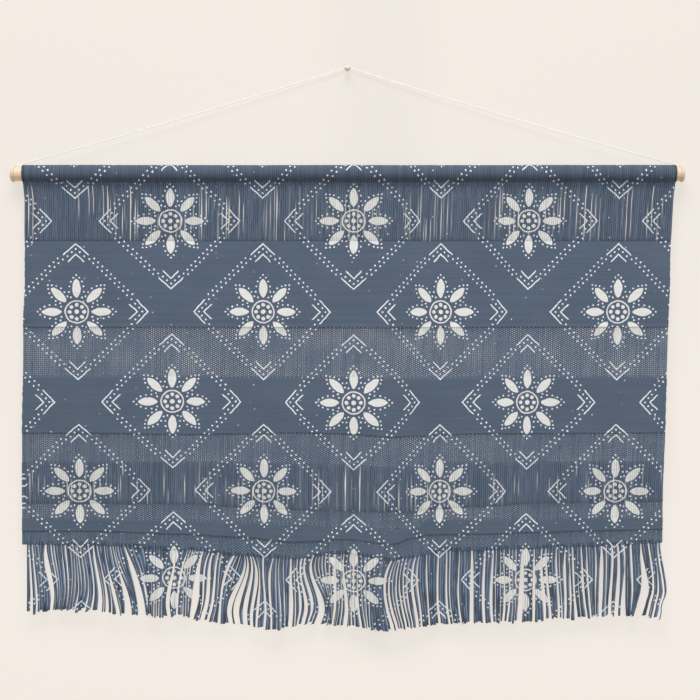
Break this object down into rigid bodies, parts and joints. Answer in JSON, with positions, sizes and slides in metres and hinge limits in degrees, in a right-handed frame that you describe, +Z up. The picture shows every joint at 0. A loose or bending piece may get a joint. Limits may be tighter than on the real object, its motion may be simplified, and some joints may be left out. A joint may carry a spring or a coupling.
{
  "type": "woven wall hanging cloth on a dowel, with its string and wall pin",
  "caption": "Woven wall hanging: a printed cloth with open and close bands and a fringed lower edge, on a wooden dowel hung by a string from a wall pin",
  "frame": {"origin": "the point where the pin enters the wall, on the pin's axis", "axes": "+Z up, +Y into the wall, +X to the right along the dowel as the viewer sees it; the wall is the plane y = 0"},
  "size_m": [0.617, 0.0267, 0.5181],
  "materials": {
    "cloth": "matte woven yarn in open and close bands, with an off-white print",
    "fringe": "matte loose yarn, with the same print",
    "dowel": "pale smooth wood with a soft sheen",
    "string": "thin off-white twisted string",
    "pin": "satin beige"
  },
  "bodies": {
    "root": {"cloth": "cloth", "fringe": "fringe", "dowel": "dowel", "hanging_string": "string", "wall_pin": "pin"}
  },
  "joints": []
}
